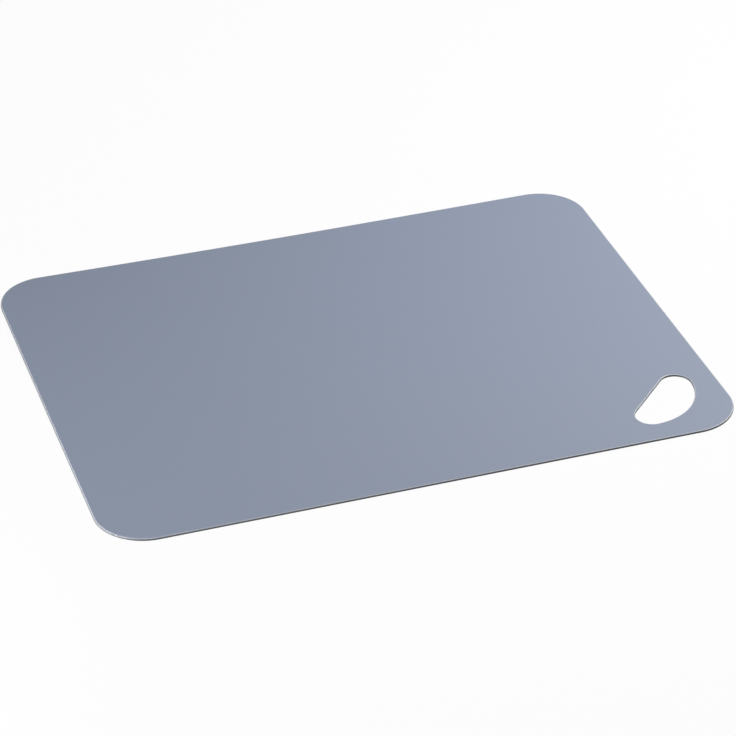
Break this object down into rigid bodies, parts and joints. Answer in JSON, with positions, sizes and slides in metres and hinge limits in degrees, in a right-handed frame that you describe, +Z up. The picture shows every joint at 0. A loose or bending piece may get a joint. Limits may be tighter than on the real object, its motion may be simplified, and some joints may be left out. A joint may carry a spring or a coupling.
{
  "type": "flexible cutting mat",
  "caption": "Thin rectangular cutting mat, a single bendable sheet with rounded corners, a softly rounded upper edge and a D-shaped hand hole across one corner.",
  "frame": {"origin": "centre of the sheet's outline, on the underside that it rests on", "axes": "+X along the long side towards the end with the hand hole, +Y along the short side away from the corner with the hand hole, +Z up through the thickness"},
  "size_m": [0.38, 0.29, 0.0013],
  "materials": {
    "mat_plastic": "fine satin"
  },
  "bodies": {
    "root": {"mat_sheet": "mat_plastic"}
  },
  "joints": []
}
